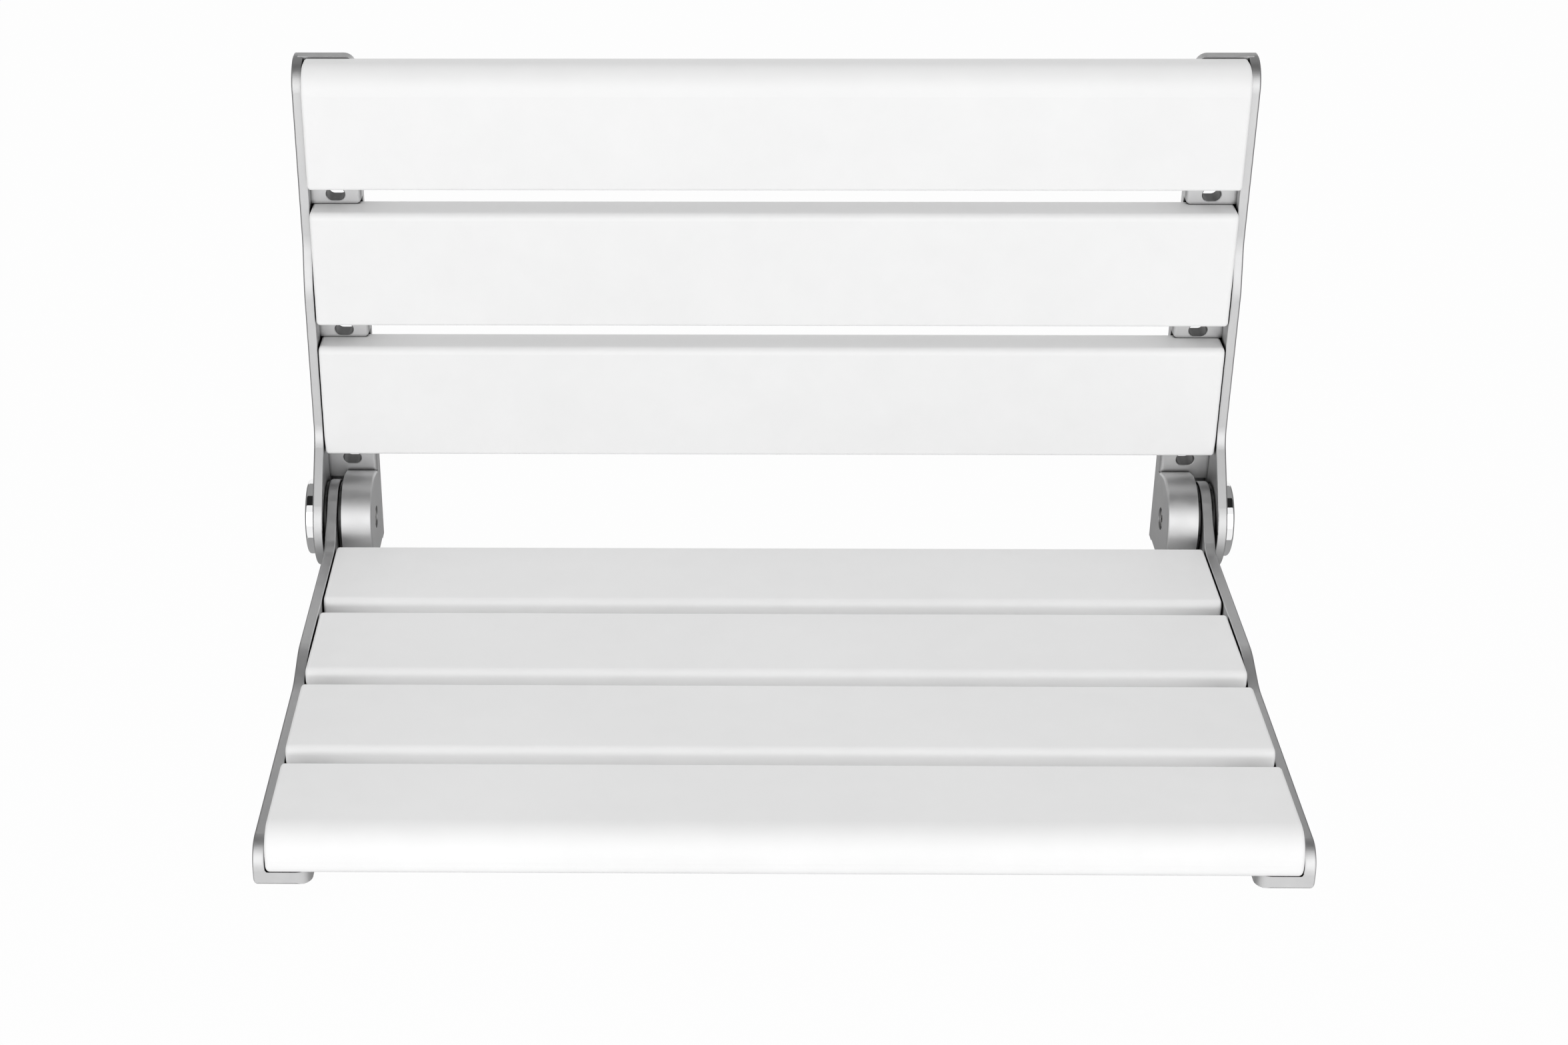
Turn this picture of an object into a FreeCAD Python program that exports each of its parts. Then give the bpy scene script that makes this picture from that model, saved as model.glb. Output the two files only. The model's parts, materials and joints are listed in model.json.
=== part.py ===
import FreeCAD, Part
import math
import os

import Sketcher

# Folding wall seat with a slatted back
# Length unit is the millimetre, X to the right, Z up, the wall is the plane Y = 0 and the front
# looks along minus Y. The origin is the middle of the wall screw pattern, on the wall.

os.makedirs("parts", exist_ok=True)
doc = FreeCAD.newDocument("FoldingWallSeat")
sheet = doc.addObject("Spreadsheet::Sheet", "Dims")

# Driving dimensions
DIMENSIONS = (
    # slats
    ("slat_width", "80"),
    ("slat_gap", "16.5"),
    ("slat_thickness", "28"),
    ("slat_edge_radius", "5"),
    ("slat_near_radius", "2"),
    ("slat_end_radius", "2.5"),
    ("nose_slat_width", "82"),
    ("nose_radius", "18"),
    ("nose_under_radius", "7"),
    ("back_slat_length", "622"),
    # hinge stack, from the end of a back slat outwards and inwards
    ("back_end_play", "0.8"),
    ("back_fin_thickness", "6.8"),
    ("turning_gap", "0.3"),
    ("outer_washer_thickness", "1.9"),
    ("arm_fin_thickness", "7.4"),
    ("seat_end_play", "0.7"),
    ("inner_washer_thickness", "3"),
    # hinge
    ("pivot_drop", "48.5"),
    ("lobe_radius", "34"),
    ("hub_radius", "31"),
    ("hub_shoulder", "22.7"),
    ("hub_edge_radius", "1.8"),
    ("knuckle_radius", "26.6"),
    ("washer_radius", "25"),
    ("washer_edge_radius", "0.4"),
    ("cap_radius", "26.2"),
    ("cap_thickness", "6.4"),
    ("cap_edge_radius", "1.6"),
    ("pin_radius", "8"),
    ("running_clearance", "0.05"),
    ("bush_wall", "2.45"),
    ("recess_radius", "6.4"),
    ("recess_depth", "6"),
    ("pivot_screw_head_radius", "6"),
    ("pivot_screw_head_height", "5"),
    ("pivot_screw_radius", "3"),
    ("pivot_screw_length", "14"),
    ("pivot_socket_radius", "2.9"),
    ("pivot_socket_depth", "3"),
    # wall flange and its raised pads
    ("flange_thickness", "8.5"),
    ("flange_width", "41"),
    ("pad_rise", "7"),
    ("pad_play", "0.4"),
    ("pad_corner_radius", "4"),
    ("pad_edge_radius", "3"),
    ("pad_edge_start", "3.3"),
    ("low_pad_drop", "26.5"),
    ("flange_corner_radius", "8"),
    ("wall_slot_inset", "16"),
    ("wall_slot_length", "12.5"),
    ("wall_slot_width", "8.5"),
    ("wall_slot_break", "0.5"),
    ("low_slot_drop", "12.25"),
    ("high_slot_drop", "1.5"),
    # fin of the back frame
    ("frame_top_rise", "1"),
    ("fin_setback_high", "12.3"),
    ("fin_setback_low", "4.2"),
    ("fin_step_lift", "23.7"),
    ("fin_step_height", "30"),
    ("fin_throat", "12"),
    ("fin_crown_radius", "20"),
    ("fin_step_radius", "48"),
    ("fin_throat_radius", "24"),
    ("heel_corner_radius", "10"),
    ("cast_edge_radius", "1.4"),
    ("inner_edge_radius", "0.7"),
    # seat
    ("seat_drop", "3"),
    ("seat_start", "41"),
    ("arm_fin_flush", "0.5"),
    ("arm_fin_low", "10.1"),
    ("arm_fin_nose", "11.3"),
    ("arm_step_lead", "49.5"),
    ("arm_step_length", "31"),
    ("arm_shoulder", "45"),
    ("nose_overhang", "3.9"),
    ("arm_flange_width", "34"),
    ("arm_nose_radius", "16"),
    ("arm_toe_radius", "1.5"),
    ("arm_keel_radius", "4"),
    ("arm_root_radius", "1.5"),
    ("arm_shoulder_radius", "18"),
    ("arm_step_radius", "45"),
    ("arm_corner_radius", "9"),
    ("stop_height", "9"),
    ("stop_depth", "24"),
    # slat screws
    ("screw_inset", "16"),
    ("screw_spread", "44"),
    ("nose_screw_shift", "1"),
    ("screw_length", "24"),
    ("screw_radius", "2.5"),
    ("screw_head_radius", "4.8"),
    ("screw_tip_radius", "0.6"),
    ("screw_tip_length", "4"),
    ("screw_socket_radius", "1.75"),
    ("screw_socket_depth", "1.6"),
    # how far a cutting or joining shape runs past the faces that it meets
    ("overrun", "1"),
    # planes and centres that follow from the above
    ("back_front", "=0 - flange_thickness - slat_thickness"),
    ("slat_pitch", "=slat_width + slat_gap"),
    ("wall_rows", "=2 * slat_width + 1.5 * slat_gap + low_slot_drop - high_slot_drop"),
    ("wall_row_half", "=wall_rows / 2"),
    ("back_foot", "=0 - wall_row_half + low_slot_drop"),
    ("back_slats_top", "=back_foot + 2 * slat_pitch + nose_slat_width"),
    ("fin_step_foot", "=slat_pitch + fin_step_lift"),
    ("fin_step_top", "=fin_step_foot + fin_step_height"),
    ("frame_top", "=back_slats_top + frame_top_rise"),
    ("pivot_y", "=back_front"),
    ("pivot_z", "=back_foot - pivot_drop"),
    ("back_fin_inner", "=back_slat_length / 2 + back_end_play"),
    ("back_fin_outer", "=back_fin_inner + back_fin_thickness"),
    ("arm_fin_outer", "=back_fin_inner - outer_washer_thickness - turning_gap"),
    ("arm_fin_inner", "=arm_fin_outer - arm_fin_thickness"),
    ("seat_slat_length", "=2 * (arm_fin_inner - seat_end_play)"),
    ("inner_washer_outer", "=arm_fin_inner - turning_gap"),
    ("hub_outer", "=inner_washer_outer - inner_washer_thickness"),
    ("flange_inner", "=back_fin_outer - flange_width"),
    ("hub_inner", "=flange_inner"),
    ("back_fin_middle", "=back_fin_inner + back_fin_thickness / 2"),
    ("arm_fin_middle", "=arm_fin_inner + arm_fin_thickness / 2"),
    ("wall_slot_x", "=back_slat_length / 2 - wall_slot_inset"),
    ("bore_radius", "=pin_radius + running_clearance"),
    ("bush_radius", "=bore_radius + bush_wall"),
    ("cap_outer", "=back_fin_outer + cap_thickness"),
    ("screw_head_height", "=screw_head_radius - screw_radius"),
    ("arm_bottom", "=0 - seat_drop - slat_thickness - flange_thickness"),
    ("arm_flange_inner", "=arm_fin_outer - arm_flange_width"),
    ("arm_step_start", "=seat_start + slat_pitch + arm_step_lead"),
    ("arm_step_end", "=arm_step_start + arm_step_length"),
    ("arm_length", "=seat_start + 3 * slat_pitch + nose_slat_width - nose_overhang"),
    ("back_screw_x", "=back_slat_length / 2 - screw_inset"),
    ("seat_screw_x", "=seat_slat_length / 2 - screw_inset"),
    ("stop_reach", "=slat_thickness - turning_gap"),
    ("arm_top", "=0 - seat_drop - arm_fin_flush"),
)

for row, (alias, content) in enumerate(DIMENSIONS, start=1):
    sheet.set(f"A{row}", alias)
    sheet.set(f"B{row}", content)
    sheet.setAlias(f"B{row}", alias)
doc.recompute()

WORDS = {alias for alias, content in DIMENSIONS}
CLOSE = 0.01


def bound(text):
    """Write a sum of dimension words as an expression on the sheet."""
    spaced = text
    for mark in "()*/+-^":
        spaced = spaced.replace(mark, f" {mark} ")
    return " ".join(f"Dims.{word}" if word in WORDS else word for word in spaced.split())


def value(text):
    """Work out a sum of dimension words as a plain number."""
    result = sheet.evalExpression(bound(text))
    return float(getattr(result, "Value", result))


def bind(target, path, text):
    """Tie a property to a sum of dimension words."""
    target.setExpression(path, bound(text))


# Solid features inside a body

PLANES = {"side": "YZ_Plane", "wall": "XZ_Plane", "level": "XY_Plane"}


def new_body(label, y="0", z="0"):
    """Start a body whose own origin lies at the given height and distance from the wall."""
    body = doc.addObject("PartDesign::Body", label)
    body.Label = label
    bind(body, "Placement.Base.y", y)
    bind(body, "Placement.Base.z", z)
    return body


def new_sketch(body, plane, offset="0"):
    """Attach an empty sketch to one of the body's own origin planes."""
    sketch = body.newObject("Sketcher::SketchObject", f"{body.Name}_sketch")
    support = next(item for item in body.Origin.OriginFeatures if item.Role == PLANES[plane])
    sketch.AttachmentSupport = [(support, "")]
    sketch.MapMode = "FlatFace"
    bind(sketch, "AttachmentOffset.Base.z", offset)
    return sketch


def pin_point(sketch, geometry, point, across, up):
    """Hold one point of a sketch at bound distances from the sketch origin."""
    for kind, text in (("DistanceX", across), ("DistanceY", up)):
        constraint = Sketcher.Constraint(kind, -1, 1, geometry, point, value(text))
        index = sketch.addConstraint(constraint)
        bind(sketch, f"Constraints[{index}]", text)


def add_polygon(sketch, corners):
    """Add a closed outline through corners given as pairs of bound distances."""
    points = [FreeCAD.Vector(value(across), value(up), 0) for across, up in corners]
    first = sketch.GeometryCount
    for start, end in zip(points, points[1:] + points[:1]):
        sketch.addGeometry(Part.LineSegment(start, end), False)
    for index in range(len(points)):
        following = first + (index + 1) % len(points)
        sketch.addConstraint(Sketcher.Constraint("Coincident", first + index, 2, following, 1))
    for index, (across, up) in enumerate(corners):
        pin_point(sketch, first + index, 1, across, up)


def add_lobed_outline(sketch, corners, radius):
    """Add an outline through bound corners, closed by a tangent arc around the sketch origin.

    The corners run anticlockwise, and the arc takes over after the last of them.
    """
    points = [FreeCAD.Vector(value(across), value(up), 0) for across, up in corners]
    wide = value(radius)
    leans = [
        math.atan2(point.y, point.x) + turn * math.acos(wide / point.Length)
        for point, turn in ((points[0], -1), (points[-1], 1))
    ]
    leans[1] %= math.tau
    while leans[0] < leans[1]:
        leans[0] += math.tau
    touches = [FreeCAD.Vector(math.cos(lean), math.sin(lean), 0) * wide for lean in leans]
    path = [touches[0], *points, touches[1]]
    first = sketch.GeometryCount
    for start, end in zip(path, path[1:]):
        sketch.addGeometry(Part.LineSegment(start, end), False)
    last = sketch.GeometryCount - 1
    circle = Part.Circle(FreeCAD.Vector(), FreeCAD.Vector(0, 0, 1), wide)
    arc = sketch.addGeometry(Part.ArcOfCircle(circle, leans[1], leans[0]), False)
    for line in range(first, last):
        sketch.addConstraint(Sketcher.Constraint("Coincident", line, 2, line + 1, 1))
    sketch.addConstraint(Sketcher.Constraint("Tangent", last, 2, arc, 1))
    sketch.addConstraint(Sketcher.Constraint("Tangent", arc, 2, first, 1))
    for line, (across, up) in enumerate(corners, start=first + 1):
        pin_point(sketch, line, 1, across, up)
    pin_point(sketch, arc, 3, "0", "0")
    index = sketch.addConstraint(Sketcher.Constraint("Radius", arc, wide))
    bind(sketch, f"Constraints[{index}]", radius)


def add_box(sketch, left, right, low, high):
    """Add a rectangle between bound distances."""
    add_polygon(sketch, ((left, low), (right, low), (right, high), (left, high)))


def add_circle(sketch, across, up, radius):
    """Add a circle with a bound centre and radius."""
    centre = FreeCAD.Vector(value(across), value(up), 0)
    circle = Part.Circle(centre, FreeCAD.Vector(0, 0, 1), value(radius))
    geometry = sketch.addGeometry(circle, False)
    pin_point(sketch, geometry, 3, across, up)
    index = sketch.addConstraint(Sketcher.Constraint("Radius", geometry, value(radius)))
    bind(sketch, f"Constraints[{index}]", radius)


def add_slot(sketch, across, up, length, width):
    """Add a level slot with round ends around a bound centre."""
    reach = f"({length} - {width}) / 2"
    rise = f"({width}) / 2"
    left = f"{across} - {reach}"
    right = f"{across} + {reach}"
    radius = value(rise)
    first = sketch.GeometryCount
    ends = ((left, math.pi / 2, 3 * math.pi / 2), (right, -math.pi / 2, math.pi / 2))
    for middle, start_angle, end_angle in ends:
        centre = FreeCAD.Vector(value(middle), value(up), 0)
        circle = Part.Circle(centre, FreeCAD.Vector(0, 0, 1), radius)
        sketch.addGeometry(Part.ArcOfCircle(circle, start_angle, end_angle), False)
    for height in (value(up) - radius, value(up) + radius):
        start = FreeCAD.Vector(value(left), height, 0)
        end = FreeCAD.Vector(value(right), height, 0)
        sketch.addGeometry(Part.LineSegment(start, end), False)
    left_arc, right_arc, low_line, high_line = range(first, first + 4)
    joins = (
        (left_arc, 2, low_line, 1),
        (low_line, 2, right_arc, 1),
        (right_arc, 2, high_line, 2),
        (high_line, 1, left_arc, 1),
    )
    for join in joins:
        sketch.addConstraint(Sketcher.Constraint("Tangent", *join))
    for arc, middle in ((left_arc, left), (right_arc, right)):
        pin_point(sketch, arc, 3, middle, up)
        index = sketch.addConstraint(Sketcher.Constraint("Radius", arc, radius))
        bind(sketch, f"Constraints[{index}]", rise)


def add_corner_piece(sketch, across, up, side, rise, radius):
    """Add the region between a corner and the arc that rounds it, run past the corner."""
    signs = (side, rise)
    corner = (across, up)
    middle = [f"{place} + ({sign}) * ({radius})" for place, sign in zip(corner, signs)]
    past = [f"{place} - ({sign}) * overrun" for place, sign in zip(corner, signs)]
    outline = ((middle[0], past[1]), (past[0], past[1]), (past[0], middle[1]))
    points = [FreeCAD.Vector(value(x), value(z), 0) for x, z in outline]
    foot = FreeCAD.Vector(value(middle[0]), value(up), 0)
    flank = FreeCAD.Vector(value(across), value(middle[1]), 0)
    first = sketch.GeometryCount
    for start, end in ((foot, points[0]), (points[0], points[1]), (points[1], points[2])):
        sketch.addGeometry(Part.LineSegment(start, end), False)
    sketch.addGeometry(Part.LineSegment(points[2], flank), False)
    centre = FreeCAD.Vector(value(middle[0]), value(middle[1]), 0)
    circle = Part.Circle(centre, FreeCAD.Vector(0, 0, 1), value(radius))
    turns = sorted(
        math.atan2(point.y - centre.y, point.x - centre.x) % math.tau for point in (foot, flank)
    )
    if turns[1] - turns[0] > math.pi:
        turns = [turns[1], turns[0] + math.tau]
    arc = sketch.addGeometry(Part.ArcOfCircle(circle, *turns), False)
    arc_foot, arc_flank = (1, 2) if sketch.getPoint(arc, 1).isEqual(foot, CLOSE) else (2, 1)
    joins = (
        (first, 2, first + 1, 1),
        (first + 1, 2, first + 2, 1),
        (first + 2, 2, first + 3, 1),
        (first + 3, 2, arc, arc_flank),
        (arc, arc_foot, first, 1),
    )
    for join in joins:
        sketch.addConstraint(Sketcher.Constraint("Coincident", *join))
    for index, (x, z) in enumerate(outline, start=1):
        pin_point(sketch, first + index, 1, x, z)
    sketch.addConstraint(Sketcher.Constraint("Vertical", first))
    sketch.addConstraint(Sketcher.Constraint("Horizontal", first + 3))
    pin_point(sketch, arc, 3, *middle)
    index = sketch.addConstraint(Sketcher.Constraint("Radius", arc, value(radius)))
    bind(sketch, f"Constraints[{index}]", radius)


def pad(body, sketch, length, centred=False):
    """Raise a sketch by a bound length along its plane's normal."""
    feature = body.newObject("PartDesign::Pad", f"{body.Name}_pad")
    feature.Profile = sketch
    feature.Midplane = centred
    bind(feature, "Length", length)
    sketch.Visibility = False
    doc.recompute()
    return feature


def cut_through(body, sketch):
    """Cut a sketch right through the body, both ways."""
    feature = body.newObject("PartDesign::Pocket", f"{body.Name}_cut")
    feature.Profile = sketch
    feature.Type = "ThroughAll"
    feature.Midplane = True
    sketch.Visibility = False
    doc.recompute()
    return feature


def cut_in(body, sketch, depth, along_normal, taper=0):
    """Cut a sketch to a bound depth, along its plane's normal or against it."""
    feature = body.newObject("PartDesign::Pocket", f"{body.Name}_recess")
    feature.Profile = sketch
    feature.Type = "Length"
    feature.Reversed = along_normal
    feature.TaperAngle = taper
    bind(feature, "Length", depth)
    sketch.Visibility = False
    doc.recompute()
    return feature


def round_edges(body, wanted, radius):
    """Round every edge of the body's last feature that the test picks out."""
    last = body.Tip
    names = [
        f"Edge{index}"
        for index, edge in enumerate(last.Shape.Edges, start=1)
        if wanted(edge)
    ]
    if not names:
        raise ValueError(f"no edge to round on {body.Label}")
    feature = body.newObject("PartDesign::Fillet", f"{body.Name}_round")
    feature.Base = (last, names)
    bind(feature, "Radius", radius)
    doc.recompute()
    return feature


def along_x_at(*corners):
    """Pick straight edges along X that pass through one of the bound corners."""
    places = [(value(across), value(up)) for across, up in corners]

    def wanted(edge):
        if edge.Curve.TypeId != "Part::GeomLine" or abs(edge.Curve.Direction.x) < 1 - CLOSE:
            return False
        start = edge.Vertexes[0].Point
        return any(math.dist((start.y, start.z), place) < CLOSE for place in places)

    return wanted


def upright_at(*corners):
    """Pick straight edges along Z that pass through one of the bound corners."""
    places = [(value(across), value(ahead)) for across, ahead in corners]

    def wanted(edge):
        if edge.Curve.TypeId != "Part::GeomLine" or abs(edge.Curve.Direction.z) < 1 - CLOSE:
            return False
        start = edge.Vertexes[0].Point
        return any(math.dist((start.x, start.y), place) < CLOSE for place in places)

    return wanted


def from_wall_at(*corners):
    """Pick straight edges along Y that pass through one of the bound corners."""
    places = [(value(across), value(up)) for across, up in corners]

    def wanted(edge):
        if edge.Curve.TypeId != "Part::GeomLine" or abs(edge.Curve.Direction.y) < 1 - CLOSE:
            return False
        start = edge.Vertexes[0].Point
        return any(math.dist((start.x, start.z), place) < CLOSE for place in places)

    return wanted


def on_end(across):
    """Pick the edges that lie in the plane X = across."""
    plane = value(across)

    def wanted(edge):
        box = edge.BoundBox
        return abs(box.XMin - plane) < CLOSE and abs(box.XMax - plane) < CLOSE

    return wanted


def circle_on_end(across, radius):
    """Pick round edges of one radius that lie in the plane X = across."""
    lies_there = on_end(across)
    wide = value(radius)

    def wanted(edge):
        is_round = edge.Curve.TypeId == "Part::GeomCircle"
        return is_round and abs(edge.Curve.Radius - wide) < CLOSE and lies_there(edge)

    return wanted


SIDES = (("left", -1), ("right", 1))


def span(sign, near, far):
    """Give the start and length along X of a slab between two distances from the middle."""
    start = near if sign > 0 else f"0 - ({far})"
    return start, f"{far} - ({near})"


def mirrored(sign, across):
    """Give a bound distance from the middle on the chosen side."""
    return across if sign > 0 else f"0 - ({across})"


def side_pad(body, sign, near, far, draw):
    """Raise an outline seen from the side between two distances from the middle."""
    start, length = span(sign, near, far)
    sketch = new_sketch(body, "side", start)
    draw(sketch)
    return pad(body, sketch, length)


def hold_straight(sketch, sign, near, far, low, high):
    """Add a rectangle on one side of the middle."""
    edges = [mirrored(sign, near), mirrored(sign, far)]
    left, right = edges if sign > 0 else edges[::-1]
    add_box(sketch, left, right, low, high)


# Slats

BACK_ROWS = ("bottom", "middle", "top")
SEAT_ROWS = ("rear", "inner", "middle", "front")


def screw_middle(nosed):
    """Give the distance from a slat's near edge to the middle of its screw pairs."""
    return "nose_slat_width / 2 - nose_screw_shift" if nosed else "slat_width / 2"


def screw_places(rows):
    """Give, for each slat and screw, its name and distance from the first slat's near edge."""
    places = []
    for index, row in enumerate(rows):
        middle = screw_middle(row == rows[-1])
        for step_name, step in (("near", -1), ("far", 1)):
            place = f"{index} * slat_pitch + {middle} + ({step}) * screw_spread / 2"
            places.append((row, step_name, place))
    return places


def square_slat(label, length, screw_x, facing, y, z):
    """A slat with rounded edges and two blind screw holes at each end."""
    return slat(label, length, screw_x, facing, y, z, "slat_width", False)


def nose_slat(label, length, screw_x, facing, y, z):
    """A slat whose far edge is drawn into a deep round nose."""
    return slat(label, length, screw_x, facing, y, z, "nose_slat_width", True)


def slat(label, length, screw_x, facing, y, z, width, nosed):
    """A slat lying behind its body origin; its face looks forward or up."""
    body = new_body(label, y, z)
    sketch = new_sketch(body, "side")
    deep = "slat_thickness"
    if facing == "forward":
        add_box(sketch, "0", deep, "0", width)
        face_near = ("0", "0")
        face_far = ("0", width)
        rear_near = (deep, "0")
        rear_far = (deep, width)
        screw_plane = "wall"
        screw_offset = "0 - slat_thickness"
        middle_of = screw_middle(nosed)
    else:
        back = f"0 - {width}"
        low = f"0 - {deep}"
        add_box(sketch, back, "0", low, "0")
        face_near = ("0", "0")
        face_far = (back, "0")
        rear_near = ("0", low)
        rear_far = (back, low)
        screw_plane = "level"
        screw_offset = low
        middle_of = f"0 - ({screw_middle(nosed)})"
    pad(body, sketch, length, centred=True)
    under = "nose_under_radius" if nosed and facing == "up" else "slat_end_radius"
    round_edges(body, along_x_at(face_far), "nose_radius" if nosed else "slat_edge_radius")
    round_edges(body, along_x_at(face_near), "slat_near_radius")
    round_edges(body, along_x_at(rear_far), under)
    round_edges(body, along_x_at(rear_near), "slat_end_radius")
    for sign in (-1, 1):
        end = mirrored(sign, f"({length}) / 2")
        round_edges(body, on_end(end), "slat_end_radius")
    holes = new_sketch(body, screw_plane, screw_offset)
    for sign in (-1, 1):
        for step in (-1, 1):
            up = f"{middle_of} + ({step}) * screw_spread / 2"
            add_circle(holes, mirrored(sign, screw_x), up, "screw_radius")
    cut_in(body, holes, "screw_length - flange_thickness", True)
    return body


def back_slats():
    """The slats of the back, the top one nosed."""
    for index, row in enumerate(BACK_ROWS):
        make = nose_slat if row == BACK_ROWS[-1] else square_slat
        foot = f"back_foot + {index} * slat_pitch"
        ends = ("back_slat_length", "back_screw_x")
        make(f"back_slat_{row}", *ends, "forward", "back_front", foot)


def seat_slats():
    """The slats of the seat, the front one nosed."""
    for index, row in enumerate(SEAT_ROWS):
        make = nose_slat if row == SEAT_ROWS[-1] else square_slat
        rear = f"pivot_y - seat_start - {index} * slat_pitch"
        ends = ("seat_slat_length", "seat_screw_x")
        make(f"seat_slat_{row}", *ends, "up", rear, "pivot_z - seat_drop")


# Back frame: fin, wall flange with pads, and fork around the hinge

def back_frame(side, sign):
    """A cast side frame of the back, drawn around the hinge axis."""
    body = new_body(f"back_frame_{side}", "pivot_y", "pivot_z")
    wall = "0 - pivot_y"
    foot = "0 - lobe_radius"
    top = "frame_top - pivot_z"
    step_top = "pivot_drop + fin_step_top"
    step_foot = "pivot_drop + fin_step_foot"
    throat = "pivot_drop + fin_throat"
    outline = (
        (wall, foot),
        (wall, top),
        ("fin_setback_high", top),
        ("fin_setback_high", step_top),
        ("fin_setback_low", step_foot),
        ("fin_setback_low", throat),
    )
    fin = ("back_fin_inner", "back_fin_outer")
    side_pad(body, sign, *fin, lambda sketch: add_lobed_outline(sketch, outline, "lobe_radius"))
    round_edges(body, along_x_at(outline[2]), "fin_crown_radius")
    round_edges(body, along_x_at(outline[3], outline[4]), "fin_step_radius")
    round_edges(body, along_x_at(outline[5]), "fin_throat_radius")
    round_edges(body, along_x_at(outline[0]), "heel_corner_radius")
    round_edges(body, on_end(mirrored(sign, "back_fin_outer")), "cast_edge_radius")
    round_edges(body, on_end(mirrored(sign, "back_fin_inner")), "inner_edge_radius")

    hub = ("hub_inner", "hub_outer")
    root = ((wall, "0 - hub_radius"), (wall, "hub_shoulder"))
    side_pad(body, sign, *hub, lambda sketch: add_lobed_outline(sketch, root, "hub_radius"))
    hub_rim = circle_on_end(mirrored(sign, "hub_inner"), "hub_radius")
    round_edges(body, hub_rim, "hub_edge_radius")

    flange = new_sketch(body, "wall", "pivot_y")
    hold_straight(flange, sign, "flange_inner", "back_fin_middle", "0 - hub_radius", top)
    pad(body, flange, "flange_thickness")
    inner_edge = mirrored(sign, "flange_inner")
    round_edges(body, from_wall_at((inner_edge, top)), "flange_corner_radius")

    slat_rows = [f"pivot_drop + {index} * slat_pitch" for index in range(3)]
    pad_ends = [
        ("pivot_drop - low_pad_drop", f"{slat_rows[0]} - pad_play"),
        (f"{slat_rows[0]} + slat_width + pad_play", f"{slat_rows[1]} - pad_play"),
        (f"{slat_rows[1]} + slat_width + pad_play", f"{slat_rows[2]} - pad_play"),
    ]
    for low, high in pad_ends:
        raised = new_sketch(body, "wall", "pivot_y")
        hold_straight(raised, sign, "flange_inner", "back_fin_middle", low, high)
        pad(body, raised, "flange_thickness + pad_rise")
    corners = [(inner_edge, low) for low, high in pad_ends[1:]]
    corners += [(inner_edge, high) for low, high in pad_ends]
    on_corner = from_wall_at(*corners)
    flange_front = value("0 - pivot_y - flange_thickness")

    def pad_corner(edge):
        return on_corner(edge) and edge.CenterOfMass.y < flange_front

    round_edges(body, pad_corner, "pad_corner_radius")
    pad_front = "0 - pivot_y - flange_thickness - pad_rise"
    pad_foot = "hub_shoulder + pad_edge_start"
    pad_edge = new_sketch(body, "level", pad_foot)
    add_corner_piece(pad_edge, inner_edge, pad_front, sign, 1, "pad_edge_radius")
    cut_in(body, pad_edge, f"{top} - ({pad_foot})", True)

    bore = new_sketch(body, "side")
    add_circle(bore, "0", "0", "pin_radius")
    cut_through(body, bore)
    start = mirrored(sign, "hub_inner")
    recess = new_sketch(body, "side", start)
    add_circle(recess, "0", "0", "recess_radius")
    cut_in(body, recess, "recess_depth", sign > 0)

    for grown, offset in (("0", "pivot_y"), ("2 * wall_slot_break", f"0 - ({pad_front})")):
        slots = new_sketch(body, "wall", offset)
        length, width = f"(wall_slot_length + {grown})", f"(wall_slot_width + {grown})"
        for row in ("wall_row_half", "0", "0 - wall_row_half"):
            across = mirrored(sign, "wall_slot_x")
            add_slot(slots, across, f"{row} - pivot_z", length, width)
        if grown == "0":
            cut_through(body, slots)
        else:
            cut_in(body, slots, "wall_slot_break", False, taper=-45)

    for radius, through in (("screw_radius", True), ("screw_head_radius", False)):
        holes = new_sketch(body, "wall", "pivot_y")
        for *_, place in screw_places(BACK_ROWS):
            up = f"pivot_drop + {place}"
            add_circle(holes, mirrored(sign, "back_screw_x"), up, radius)
        if through:
            cut_in(body, holes, "flange_thickness", True)
        else:
            cut_in(body, holes, "screw_head_height", True, taper=-45)
    return body


# Seat arm: knuckle, fin and the flange under the slats

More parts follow.
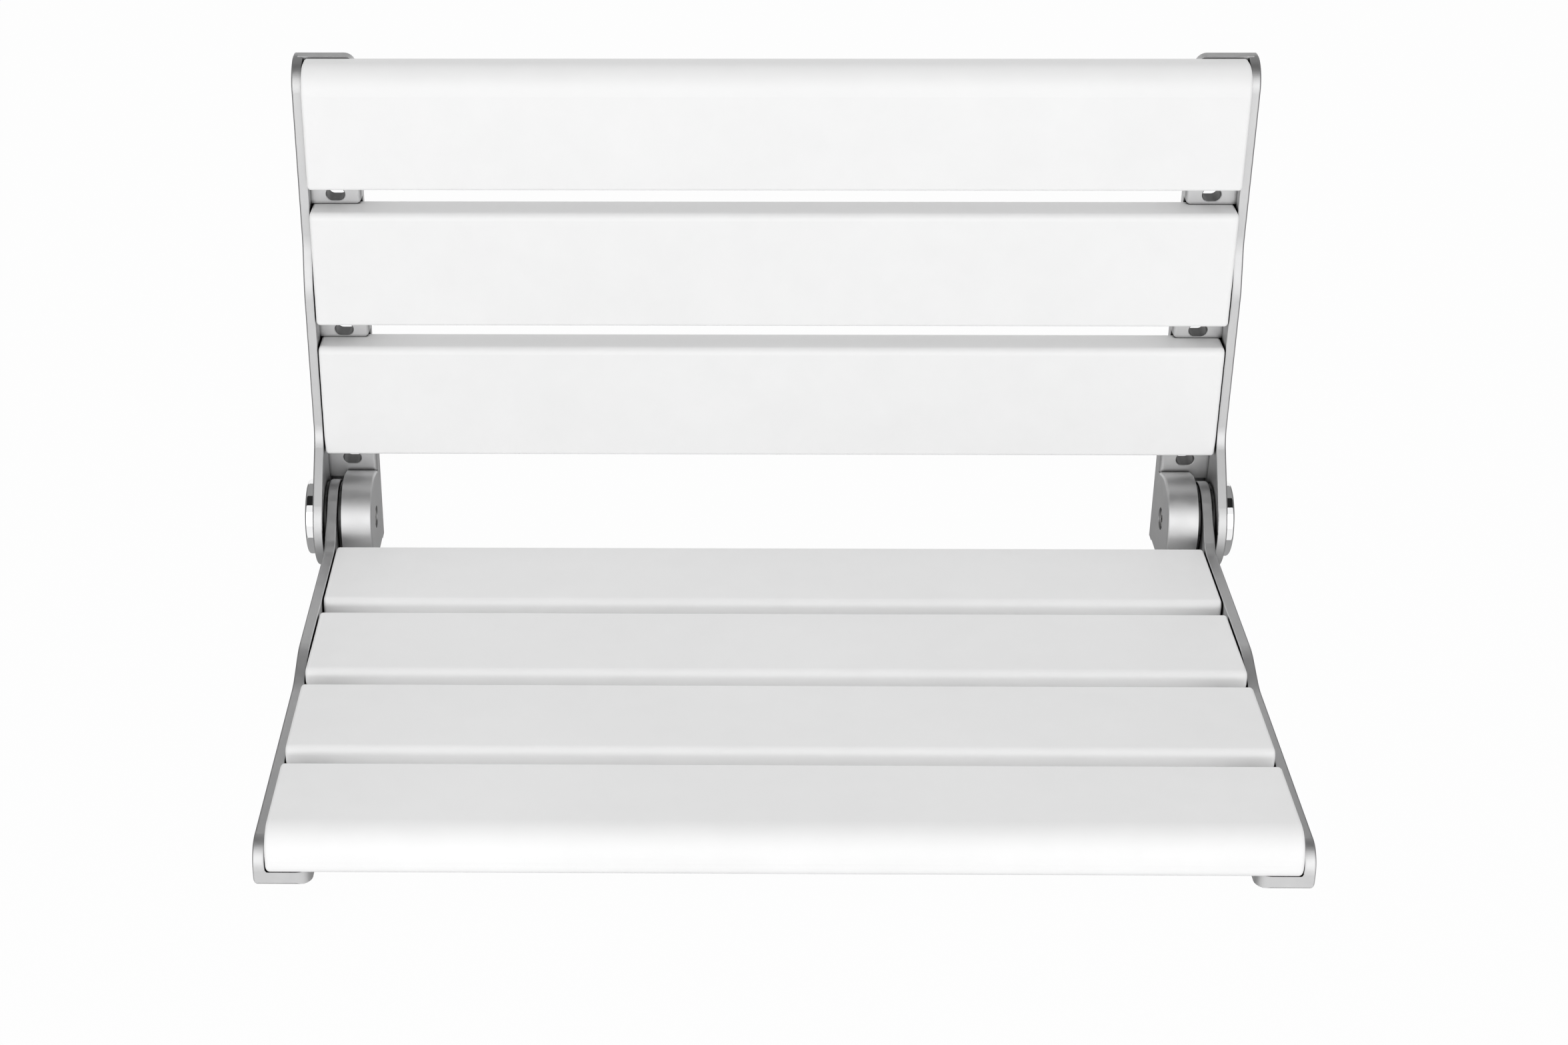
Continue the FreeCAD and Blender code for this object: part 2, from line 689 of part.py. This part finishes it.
def seat_arm(side, sign):
    """A cast arm of the seat, drawn around the hinge axis."""
    body = new_body(f"seat_arm_{side}", "pivot_y", "pivot_z")
    front = "0 - arm_length"
    low = "0 - seat_drop - arm_fin_low"
    nose = "0 - seat_drop - arm_fin_nose"
    stop_top = "0 - stop_height"
    stop_foot = "0 - stop_depth"
    outline = (
        ("0 - arm_shoulder", "arm_top"),
        ("0 - arm_step_start", "arm_top"),
        ("0 - arm_step_end", low),
        (front, nose),
        (front, "arm_bottom"),
        ("0 - seat_start", "arm_bottom"),
    )
    fin = ("arm_fin_inner", "arm_fin_outer")
    side_pad(body, sign, *fin, lambda sketch: add_lobed_outline(sketch, outline, "knuckle_radius"))
    round_edges(body, along_x_at(outline[0]), "arm_shoulder_radius")
    round_edges(body, along_x_at(outline[1], outline[2]), "arm_step_radius")
    round_edges(body, along_x_at(outline[3]), "arm_nose_radius")
    round_edges(body, on_end(mirrored(sign, "arm_fin_outer")), "cast_edge_radius")
    round_edges(body, on_end(mirrored(sign, "arm_fin_inner")), "inner_edge_radius")
    stop = (
        ("0", "0 - knuckle_radius"),
        ("stop_depth * 3 / 4", "0 - knuckle_radius"),
        ("stop_reach", stop_foot),
        ("stop_reach", stop_top),
        ("0", stop_top),
    )
    side_pad(body, sign, *fin, lambda sketch: add_polygon(sketch, stop))

    flange = new_sketch(body, "level", "arm_bottom")
    hold_straight(flange, sign, "arm_flange_inner", "arm_fin_middle", front, "0 - seat_start")
    pad(body, flange, "flange_thickness")
    flange_corner = (mirrored(sign, "arm_flange_inner"), front)
    round_edges(body, upright_at(flange_corner), "arm_corner_radius")
    inside = new_sketch(body, "wall", "seat_start")
    fin_foot = (mirrored(sign, "arm_fin_inner"), "arm_bottom + flange_thickness")
    add_corner_piece(inside, *fin_foot, -sign, 1, "arm_root_radius")
    pad(body, inside, "arm_length - seat_start")
    keel = new_sketch(body, "wall")
    keel_corner = (mirrored(sign, "arm_fin_outer"), "arm_bottom")
    add_corner_piece(keel, *keel_corner, -sign, 1, "arm_keel_radius")
    cut_through(body, keel)
    toe = new_sketch(body, "side")
    add_corner_piece(toe, front, "arm_bottom", 1, 1, "arm_toe_radius")
    cut_through(body, toe)

    bore = new_sketch(body, "side")
    add_circle(bore, "0", "0", "bush_radius")
    cut_through(body, bore)

    for radius, through in (("screw_radius", True), ("screw_head_radius", False)):
        holes = new_sketch(body, "level", "arm_bottom")
        for *_, place in screw_places(SEAT_ROWS):
            ahead = f"0 - seat_start - ({place})"
            add_circle(holes, mirrored(sign, "seat_screw_x"), ahead, radius)
        if through:
            cut_in(body, holes, "flange_thickness", True)
        else:
            cut_in(body, holes, "screw_head_height", True, taper=-45)
    return body


# Turned parts of the hinge

def ring(label, sign, near, far, inner, outer):
    """A plain ring around the hinge axis."""
    body = new_body(label, "pivot_y", "pivot_z")

    def draw(sketch):
        add_circle(sketch, "0", "0", outer)
        add_circle(sketch, "0", "0", inner)

    side_pad(body, sign, near, far, draw)
    return body


def washer(label, sign, near, far):
    """A friction washer with softly rounded rims."""
    body = ring(label, sign, near, far, "bore_radius", "washer_radius")
    for across in (near, far):
        rim = circle_on_end(mirrored(sign, across), "washer_radius")
        round_edges(body, rim, "washer_edge_radius")
    return body


def pivot_cap(side, sign):
    """A bright disc on the outside of the lobe."""
    body = new_body(f"pivot_cap_{side}", "pivot_y", "pivot_z")
    reach = ("back_fin_outer", "cap_outer")
    side_pad(body, sign, *reach, lambda sketch: add_circle(sketch, "0", "0", "cap_radius"))
    round_edges(body, on_end(mirrored(sign, "cap_outer")), "cap_edge_radius")
    return body


def set_place(item, x, y, z, pitch=0, axis=FreeCAD.Vector(0, 1, 0)):
    """Turn an item, then tie its place to bound distances."""
    item.Placement = FreeCAD.Placement(FreeCAD.Vector(), FreeCAD.Rotation(axis, pitch))
    for name, text in (("x", x), ("y", y), ("z", z)):
        bind(item, f"Placement.Base.{name}", text)


def primitive(kind, name, lift="0", **sizes):
    """A primitive solid with bound sizes, lifted along its own axis."""
    item = doc.addObject(f"Part::{kind}", name)
    for key, text in sizes.items():
        bind(item, key, text)
    bind(item, "Placement.Base.z", lift)
    return item


def fused(label, parts):
    """One solid out of several."""
    item = doc.addObject("Part::MultiFuse", label)
    item.Shapes = parts
    return item


def without(label, base, tool):
    """A solid with another taken out of it."""
    item = doc.addObject("Part::Cut", label)
    item.Base = base
    item.Tool = tool
    item.Label = label
    return item


def pivot_pin(side, sign):
    """A pin from the recess of the hub to the outside of the lobe."""
    name = f"pivot_pin_{side}"
    length = "back_fin_outer - hub_inner - recess_depth"
    rod = primitive("Cylinder", f"{name}_rod", Radius="pin_radius", Height=length)
    hole = primitive(
        "Cylinder",
        f"{name}_hole",
        Radius="pivot_screw_radius",
        Height="pivot_screw_length",
    )
    pin = without(name, rod, hole)
    start = mirrored(sign, "hub_inner + recess_depth")
    set_place(pin, start, "pivot_y", "pivot_z", 90 * sign)
    return pin


def pivot_screw(side, sign):
    """A socket screw in the end of the pin."""
    name = f"pivot_screw_{side}"
    head = primitive(
        "Cylinder",
        f"{name}_head",
        lift="0 - pivot_screw_head_height",
        Radius="pivot_screw_head_radius",
        Height="pivot_screw_head_height",
    )
    shank = primitive(
        "Cylinder",
        f"{name}_shank",
        Radius="pivot_screw_radius",
        Height="pivot_screw_length",
    )
    socket = primitive(
        "Prism",
        f"{name}_socket",
        lift="0 - pivot_screw_head_height",
        Circumradius="pivot_socket_radius",
        Height="pivot_socket_depth",
    )
    screw = without(name, fused(f"{name}_solid", [head, shank]), socket)
    start = mirrored(sign, "hub_inner + recess_depth")
    set_place(screw, start, "pivot_y", "pivot_z", 90 * sign)
    return screw


def slat_screw(name, x, y, z, pitch):
    """A countersunk screw with its head flush, drawn along its own axis."""
    head = primitive(
        "Cone",
        f"{name}_head",
        Radius1="screw_head_radius",
        Radius2="screw_radius",
        Height="screw_head_height",
    )
    shank = primitive(
        "Cylinder",
        f"{name}_shank",
        lift="screw_head_height",
        Radius="screw_radius",
        Height="screw_length - screw_head_height - screw_tip_length",
    )
    tip = primitive(
        "Cone",
        f"{name}_tip",
        lift="screw_length - screw_tip_length",
        Radius1="screw_radius",
        Radius2="screw_tip_radius",
        Height="screw_tip_length",
    )
    socket = primitive(
        "Prism",
        f"{name}_socket",
        Circumradius="screw_socket_radius",
        Height="screw_socket_depth",
    )
    screw = without(name, fused(f"{name}_solid", [head, shank, tip]), socket)
    set_place(screw, x, y, z, pitch, FreeCAD.Vector(1, 0, 0))
    return screw


def slat_screws():
    """Two screws in each slat end, from the wall side and from below."""
    parts = []
    back_steps = {"near": "low", "far": "high"}
    seat_steps = {"near": "rear", "far": "front"}
    for side, sign in SIDES:
        for row, step, place in screw_places(BACK_ROWS):
            name = f"back_screw_{row}_{back_steps[step]}_{side}"
            x = mirrored(sign, "back_screw_x")
            parts.append(slat_screw(name, x, "0", f"back_foot + {place}", 90))
        for row, step, place in screw_places(SEAT_ROWS):
            name = f"seat_screw_{row}_{seat_steps[step]}_{side}"
            x = mirrored(sign, "seat_screw_x")
            ahead = f"pivot_y - seat_start - ({place})"
            parts.append(slat_screw(name, x, ahead, "pivot_z + arm_bottom", 0))
    return parts


back_slats()
seat_slats()
turned = []
for side, sign in SIDES:
    back_frame(side, sign)
    seat_arm(side, sign)
    pivot_cap(side, sign)
    outer_washer = ("back_fin_inner - outer_washer_thickness", "back_fin_inner")
    inner_washer = ("hub_outer", "inner_washer_outer")
    washer(f"washer_outer_{side}", sign, *outer_washer)
    washer(f"washer_inner_{side}", sign, *inner_washer)
    knuckle = ("arm_fin_inner", "arm_fin_outer")
    ring(f"pivot_bush_{side}", sign, *knuckle, "bore_radius", "bush_radius")
    turned.append(pivot_pin(side, sign))
    turned.append(pivot_screw(side, sign))
screws = slat_screws()
doc.recompute()

# Check every object, then write each sub-part to its own file
for item in doc.Objects:
    if "Invalid" in item.State or "Error" in item.State:
        raise RuntimeError(f"{item.Label} did not build: {item.State}")

bodies = [item for item in doc.Objects if item.TypeId == "PartDesign::Body"]
for item in bodies + turned + screws:
    shape = item.Shape
    if shape.isNull() or not shape.isValid() or len(shape.Solids) != 1:
        raise RuntimeError(f"{item.Label} is not one sound solid")
    shape.exportStep(os.path.join("parts", f"{item.Label}.step"))
    box = shape.BoundBox
    print(item.Label, "volume", round(shape.Volume), "Y", round(box.YMin, 1), round(box.YMax, 1))
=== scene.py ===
import json
import math

import bpy
from mathutils import Matrix, Vector

# Folding wall seat with a slatted back: looks, stage, light and camera
# Lengths are metres in the shared frame: X to the right, Z up, the wall is the plane Y = 0.

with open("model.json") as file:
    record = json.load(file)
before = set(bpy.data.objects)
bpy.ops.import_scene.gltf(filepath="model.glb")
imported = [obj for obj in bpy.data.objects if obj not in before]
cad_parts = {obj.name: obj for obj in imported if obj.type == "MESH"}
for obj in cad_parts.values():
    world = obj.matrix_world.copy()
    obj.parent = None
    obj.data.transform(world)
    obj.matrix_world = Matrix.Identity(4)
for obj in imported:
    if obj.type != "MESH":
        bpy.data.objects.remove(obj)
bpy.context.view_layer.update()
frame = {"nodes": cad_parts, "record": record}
NODES = frame["nodes"]
MOUNTS = {mount["name"]: mount["dims"] for mount in frame["record"]["mounts"]}
MILLIMETRE = 0.001

# Camera, fitted on the slat edges of the photograph
PHOTO_WIDTH = 2352
PHOTO_HEIGHT = 1568
FOCAL_PIXELS = 4054.27
AXIS_PIXEL = (984.29, 999.55)
CAMERA_PLACE = Vector((-0.05296, -1.75959, 0.71141))
CAMERA_PITCH = 0.5111
CAMERA_YAW = -0.0154
CAMERA_ROLL = 0.0043
SENSOR_WIDTH = 36.0
CLIP_END = 100.0

# Wall slots of the side frames: centres either side of the middle, and their walls, which get
# painted shade
SLOTS = MOUNTS["wall_slots_outer"]
SLOT_X = SLOTS["spacing_x_mm"] / 2 * MILLIMETRE
SLOT_ROW = SLOTS["spacing_y_mm"] / 2 * MILLIMETRE
SLOT_RADIUS = SLOTS["hole_r_mm"] * MILLIMETRE
SLOT_STRAIGHT = SLOTS["slot_length_mm"] / 2 * MILLIMETRE - SLOT_RADIUS
SLOT_MARGIN = 0.00025
SLOT_MOUTH = -0.0151
SLOT_SHADE_TONE = 0.12

# Bands of a noise that are drawn out to a full range, and openness of a gap that takes painted
# shade
SHADE_BAND = (0.35, 0.65)
WEAR_BAND = (0.3, 0.7)
GAP_SHADE_BAND = (0.3, 0.8)
GAP_SHADE_SAMPLES = 8
UNIT = (0.0, 1.0)
# Sockets of a colour Mix node that share their names with others
MIX_SHARE = 0
MIX_FIRST = 6
MIX_SECOND = 7
MIX_COLOUR = 2

# Floor and world
FLOOR_Z = -0.62
FLOOR_REACH = 30.0
FLOOR_TONE = 0.9
FLOOR_GLOW = 0.95
WORLD_FILL = 0.75

# Cards: a pale ceiling behind, a dark flag before it, a grey one under the seat, two at the sides
CEILING_X = 3.0
CEILING_Z = 1.0
CEILING_FRONT = 0.02
CEILING_BACK = 2.0
CEILING_TONE = 0.3
FLAG_FRONT = -0.68
FLAG_TONE = 0.02
UNDER_X = 1.5
UNDER_FRONT = -0.55
UNDER_BACK = 1.5
UNDER_Z = -0.6
UNDER_TONE = 0.35
SIDE_X = 0.95
SIDE_FRONT = -0.5
SIDE_BACK = 1.2
SIDE_LOW = -0.58
SIDE_HIGH = 0.8
SIDE_TONE = 0.22

# Softbox behind the camera, leaning away from the object
SOFTBOX_LEFT = -2.6
SOFTBOX_RIGHT = 2.0
SOFTBOX_FOOT = (-2.4, -0.3)
SOFTBOX_HEAD = (-2.0, 1.5)
SOFTBOX_TONE = 1.75


# Camera

def camera_axes():
    """Give the camera's right, down and forward directions."""
    forward = Vector((
        math.sin(CAMERA_YAW) * math.cos(CAMERA_PITCH),
        math.cos(CAMERA_YAW) * math.cos(CAMERA_PITCH),
        -math.sin(CAMERA_PITCH),
    ))
    level = Vector((math.cos(CAMERA_YAW), -math.sin(CAMERA_YAW), 0.0))
    steep = forward.cross(level)
    right = level * math.cos(CAMERA_ROLL) + steep * math.sin(CAMERA_ROLL)
    down = steep * math.cos(CAMERA_ROLL) - level * math.sin(CAMERA_ROLL)
    return right, down, forward


def make_camera():
    """Place the camera, with a shift that keeps the photograph's framing."""
    data = bpy.data.cameras.new("camera")
    data.sensor_fit = "HORIZONTAL"
    data.sensor_width = SENSOR_WIDTH
    data.lens = FOCAL_PIXELS * SENSOR_WIDTH / PHOTO_WIDTH
    data.shift_x = (PHOTO_WIDTH / 2 - AXIS_PIXEL[0]) / PHOTO_WIDTH
    data.shift_y = (AXIS_PIXEL[1] - PHOTO_HEIGHT / 2) / PHOTO_WIDTH
    data.clip_end = CLIP_END
    camera = bpy.data.objects.new("camera", data)
    right, down, forward = camera_axes()
    turn = Matrix((right, -down, -forward)).transposed()
    camera.matrix_world = Matrix.Translation(CAMERA_PLACE) @ turn.to_4x4()
    bpy.context.scene.collection.objects.link(camera)
    bpy.context.scene.camera = camera


# Node helpers

def grey(level):
    """A neutral colour."""
    return (level, level, level)


def solid(colour):
    """A colour with full alpha."""
    return (*colour, 1.0)


class Nodes:
    """A node tree that is built from left to right."""

    def __init__(self, tree):
        self.tree = tree
        tree.nodes.clear()

    def add(self, kind, inputs=None, **settings):
        """Add a node, set its properties, and link or set its inputs."""
        node = self.tree.nodes.new(f"ShaderNode{kind}")
        for name, setting in settings.items():
            setattr(node, name, setting)
        for name, content in (inputs or {}).items():
            if isinstance(content, bpy.types.NodeSocket):
                self.tree.links.new(content, node.inputs[name])
            else:
                node.inputs[name].default_value = content
        return node

    def math(self, operation, first, second=0.0):
        """Combine two numbers."""
        return self.add("Math", {0: first, 1: second}, operation=operation).outputs[0]

    def blend(self, first, second, share):
        """Mix two numbers, with the second one's share."""
        return self.math("ADD", self.math("MULTIPLY", first, 1.0 - share),
                         self.math("MULTIPLY", second, share))

    def offset(self, number, middle):
        """The distance of a number from a middle value."""
        return self.math("ABSOLUTE", self.math("SUBTRACT", number, middle))

    def spread(self, number, band, target):
        """Carry a number from a band to a target range, held at the ends."""
        inputs = {"Value": number, "From Min": band[0], "From Max": band[1]}
        inputs.update({"To Min": target[0], "To Max": target[1]})
        return self.add("MapRange", inputs).outputs["Result"]

    def noise(self, place, scale, detail=3.0, roughness=0.5):
        """A noise from 0 to 1."""
        inputs = {"Vector": place, "Scale": scale, "Detail": detail, "Roughness": roughness}
        return self.add("TexNoise", inputs).outputs["Fac"]

    def mix(self, share, first, second, **settings):
        """Mix two colours, each a socket or a colour with alpha."""
        inputs = {MIX_SHARE: share, MIX_FIRST: first, MIX_SECOND: second}
        return self.add("Mix", inputs, data_type="RGBA", **settings).outputs[MIX_COLOUR]

    def tone(self, share, dark, light):
        """Go from a dark to a light colour."""
        return self.mix(share, solid(dark), solid(light))

    def painted_gap_shade(self, colour, reach, low):
        """Darken a colour with painted shade in gaps and corners within a reach."""
        opening = self.add("AmbientOcclusion", {"Distance": reach}, samples=GAP_SHADE_SAMPLES)
        share = self.spread(opening.outputs["AO"], GAP_SHADE_BAND, (low, 1.0))
        return self.mix(1.0, colour, share, blend_type="MULTIPLY")

    def bump(self, height, strength, distance, normal=None):
        """A bump from a height between 0 and 1."""
        inputs = {"Height": height, "Strength": strength, "Distance": distance}
        if normal is not None:
            inputs["Normal"] = normal
        return self.add("Bump", inputs).outputs["Normal"]

    def glow(self, level):
        """A surface that shines white by itself."""
        inputs = {"Color": solid(grey(1.0)), "Strength": level}
        return self.add("Emission", inputs).outputs["Emission"]

    def close(self, surface, kind="Material"):
        """End the tree with its surface."""
        self.add(f"Output{kind}", {"Surface": surface})


def new_material(name):
    """Start an empty material and give its nodes."""
    material = bpy.data.materials.new(name)
    material.use_nodes = True
    return material, Nodes(material.node_tree)


def new_finish(name):
    """Start a material for the object and give its nodes and the coordinates on the object."""
    material, nodes = new_material(name)
    return material, nodes, nodes.add("TexCoord").outputs["Object"]


def close_finish(nodes, colour, roughness, relief, **constants):
    """Close a material with a principled surface."""
    inputs = {"Base Color": colour, "Roughness": roughness, "Normal": relief, **constants}
    nodes.close(nodes.add("BsdfPrincipled", inputs).outputs["BSDF"])


# Materials

def slat_plastic():
    """White moulded plastic: satin, with a faint peel and soft clouds of shade."""
    material, nodes, place = new_finish("slat_plastic")
    clouds = nodes.noise(place, scale=5.0, detail=2.0)
    flow = nodes.noise(place, scale=42.0)
    peel = nodes.noise(place, scale=420.0, detail=2.0)
    grain = nodes.noise(place, scale=2600.0, detail=2.0)
    shade = nodes.spread(nodes.blend(clouds, flow, share=0.4), SHADE_BAND, UNIT)
    colour = nodes.tone(shade, dark=grey(0.835), light=grey(0.865))
    # Painted shade: the colour darkens in narrow gaps and corners
    colour = nodes.painted_gap_shade(colour, reach=0.002, low=0.1)
    roughness = nodes.spread(flow, WEAR_BAND, target=(0.36, 0.46))
    relief = nodes.bump(peel, strength=0.12, distance=0.0002)
    relief = nodes.bump(grain, strength=0.10, distance=0.00005, normal=relief)
    close_finish(nodes, colour, roughness, relief, IOR=1.46)
    return material


def slot_shade_share(nodes, place):
    """One on the walls of the wall slots, where painted shade goes, and zero elsewhere."""
    apart = nodes.add("SeparateXYZ", {"Vector": place}).outputs
    across = nodes.offset(nodes.math("ABSOLUTE", apart["X"]), SLOT_X)
    across = nodes.math("MAXIMUM", nodes.math("SUBTRACT", across, SLOT_STRAIGHT))
    up = nodes.math("ABSOLUTE", apart["Z"])
    up = nodes.math("MINIMUM", up, nodes.offset(up, SLOT_ROW))
    squares = nodes.math("ADD", nodes.math("MULTIPLY", across, across),
                         nodes.math("MULTIPLY", up, up))
    inside = nodes.math("LESS_THAN", nodes.math("SQRT", squares), SLOT_RADIUS + SLOT_MARGIN)
    return nodes.math("MULTIPLY", inside, nodes.math("GREATER_THAN", apart["Y"], SLOT_MOUTH))


def cast_aluminium():
    """Satin cast aluminium: fine blasted grain, and painted shade inside the wall slots."""
    material, nodes, place = new_finish("cast_aluminium")
    clouds = nodes.noise(place, scale=14.0)
    stain = nodes.noise(place, scale=90.0, detail=4.0, roughness=0.6)
    grain = nodes.noise(place, scale=1900.0, roughness=0.65)
    shade = nodes.spread(nodes.blend(clouds, stain, share=0.5), SHADE_BAND, UNIT)
    colour = nodes.tone(shade, dark=(0.60, 0.60, 0.605), light=grey(0.66))
    # Painted shade: the walls of the wall slots are painted dark grey
    colour = nodes.mix(slot_shade_share(nodes, place), colour, solid(grey(SLOT_SHADE_TONE)))
    # Painted shade: the colour darkens in gaps, corners and where parts meet
    colour = nodes.painted_gap_shade(colour, reach=0.004, low=0.03)
    roughness = nodes.spread(stain, WEAR_BAND, target=(0.42, 0.52))
    relief = nodes.bump(grain, strength=0.25, distance=0.00012)
    close_finish(nodes, colour, roughness, relief, Metallic=1.0)
    return material


def chrome_cap():
    """Bright chrome with the faintest haze and ripple."""
    material, nodes, place = new_finish("chrome_cap")
    haze = nodes.noise(place, scale=120.0)
    ripple = nodes.noise(place, scale=3000.0, detail=2.0)
    colour = nodes.tone(haze, dark=(0.86, 0.86, 0.87), light=grey(0.92))
    roughness = nodes.spread(haze, WEAR_BAND, target=(0.03, 0.08))
    relief = nodes.bump(ripple, strength=0.03, distance=0.00002)
    close_finish(nodes, colour, roughness, relief, Metallic=1.0)
    return material


def black_plastic():
    """Black bearing plastic with rubbed patches."""
    material, nodes, place = new_finish("black_plastic")
    rub = nodes.noise(place, scale=260.0, detail=4.0)
    grain = nodes.noise(place, scale=1400.0)
    colour = nodes.tone(rub, dark=grey(0.012), light=grey(0.035))
    roughness = nodes.spread(rub, WEAR_BAND, target=(0.22, 0.42))
    relief = nodes.bump(grain, strength=0.15, distance=0.0001)
    close_finish(nodes, colour, roughness, relief)
    return material


def bush_plastic():
    """Pale bearing plastic, slightly waxy."""
    material, nodes, place = new_finish("bush_plastic")
    wax = nodes.noise(place, scale=180.0)
    grain = nodes.noise(place, scale=1600.0)
    colour = nodes.tone(wax, dark=(0.52, 0.50, 0.45), light=(0.62, 0.60, 0.55))
    roughness = nodes.spread(wax, WEAR_BAND, target=(0.35, 0.5))
    relief = nodes.bump(grain, strength=0.1, distance=0.00005)
    close_finish(nodes, colour, roughness, relief)
    return material


def stainless():
    """Stainless steel with fine mottled marks."""
    material, nodes, place = new_finish("stainless")
    marks = nodes.noise(place, scale=700.0, detail=4.0, roughness=0.6)
    grain = nodes.noise(place, scale=2600.0)
    colour = nodes.tone(marks, dark=(0.50, 0.49, 0.48), light=(0.62, 0.61, 0.60))
    # Painted shade: the colour darkens in recesses and gaps
    colour = nodes.painted_gap_shade(colour, reach=0.004, low=0.03)
    roughness = nodes.spread(marks, WEAR_BAND, target=(0.24, 0.40))
    relief = nodes.bump(grain, strength=0.2, distance=0.00005)
    close_finish(nodes, colour, roughness, relief, Metallic=1.0)
    return material


def dress_nodes():
    """Give every node of the frame its material."""
    finishes = (
        (("back_slat", "seat_slat"), slat_plastic()),
        (("back_frame", "seat_arm"), cast_aluminium()),
        (("pivot_cap",), chrome_cap()),
        (("washer",), black_plastic()),
        (("pivot_bush",), bush_plastic()),
        (("pivot_pin", "pivot_screw", "back_screw", "seat_screw"), stainless()),
    )
    for name, node in NODES.items():
        material = next(finish for starts, finish in finishes if name.startswith(starts))
        node.data.materials.clear()
        node.data.materials.append(material)


# Stage and light

def seen_ray(nodes):
    """One for rays that the eye follows: straight, mirrored or through glass."""
    path = nodes.add("LightPath").outputs
    seen = nodes.math("MAXIMUM", path["Is Camera Ray"], path["Is Glossy Ray"])
    return nodes.math("MAXIMUM", seen, path["Is Transmission Ray"])


def add_panel(name, corners, material):
    """Add a flat four-sided panel to the stage."""
    data = bpy.data.meshes.new(name)
    data.from_pydata(corners, [], [(0, 1, 2, 3)])
    data.materials.append(material)
    panel = bpy.data.objects.new(name, data)
    bpy.context.scene.collection.objects.link(panel)
    return panel


def level_corners(x_reach, y_front, y_back, height):
    """The corners of a level panel that is even about the middle plane."""
    return [
        (-x_reach, y_front, height), (x_reach, y_front, height),
        (x_reach, y_back, height), (-x_reach, y_back, height),
    ]


def side_corners(x):
    """The corners of an upright panel beside the object."""
    return [
        (x, SIDE_FRONT, SIDE_LOW), (x, SIDE_BACK, SIDE_LOW),
        (x, SIDE_BACK, SIDE_HIGH), (x, SIDE_FRONT, SIDE_HIGH),
    ]


def softbox_corners():
    """The corners of the softbox, from its foot to its head."""
    return [
        (SOFTBOX_LEFT, *SOFTBOX_FOOT), (SOFTBOX_RIGHT, *SOFTBOX_FOOT),
        (SOFTBOX_RIGHT, *SOFTBOX_HEAD), (SOFTBOX_LEFT, *SOFTBOX_HEAD),
    ]


def make_floor():
    """A plain pale floor, white to the eye, that keeps a share of the object's shadow."""
    material, nodes = new_material("floor")
    paper = nodes.add("BsdfDiffuse", {"Color": solid(grey(FLOOR_TONE))})
    share = nodes.math("MULTIPLY", seen_ray(nodes), FLOOR_GLOW)
    inputs = {0: share, 1: paper.outputs["BSDF"], 2: nodes.glow(1.0)}
    nodes.close(nodes.add("MixShader", inputs).outputs["Shader"])
    add_panel("floor", level_corners(FLOOR_REACH, -FLOOR_REACH, FLOOR_REACH, FLOOR_Z), material)


def make_card(name, corners, level, lights=False):
    """A studio card of one grey: the eye doesn't see it, and reflections do."""
    material, nodes = new_material(name)
    nodes.close(nodes.glow(level))
    card = add_panel(name, corners, material)
    card.visible_camera = False
    card.visible_diffuse = lights
    card.visible_shadow = lights


def make_cards():
    """Set up the cards that the metal mirrors, and the softbox that lights the object."""
    ceiling = level_corners(CEILING_X, CEILING_FRONT, CEILING_BACK, CEILING_Z)
    flag = level_corners(CEILING_X, FLAG_FRONT, CEILING_FRONT, CEILING_Z)
    underfloor = level_corners(UNDER_X, UNDER_FRONT, UNDER_BACK, UNDER_Z)
    make_card("ceiling", ceiling, CEILING_TONE)
    make_card("flag", flag, FLAG_TONE)
    make_card("underfloor", underfloor, UNDER_TONE)
    make_card("side_left", side_corners(-SIDE_X), SIDE_TONE)
    make_card("side_right", side_corners(SIDE_X), SIDE_TONE)
    make_card("softbox", softbox_corners(), SOFTBOX_TONE, lights=True)


def make_world():
    """White to the eye, and a soft even fill for everything else."""
    world = bpy.data.worlds.new("studio")
    world.use_nodes = True
    nodes = Nodes(world.node_tree)
    level = nodes.spread(seen_ray(nodes), UNIT, (WORLD_FILL, 1.0))
    backdrop = nodes.add("Background", {"Color": solid(grey(1.0)), "Strength": level})
    nodes.close(backdrop.outputs["Background"], "World")
    bpy.context.scene.world = world


dress_nodes()
make_camera()
make_floor()
make_world()
make_cards()
bpy.context.scene.view_settings.view_transform = "Standard"
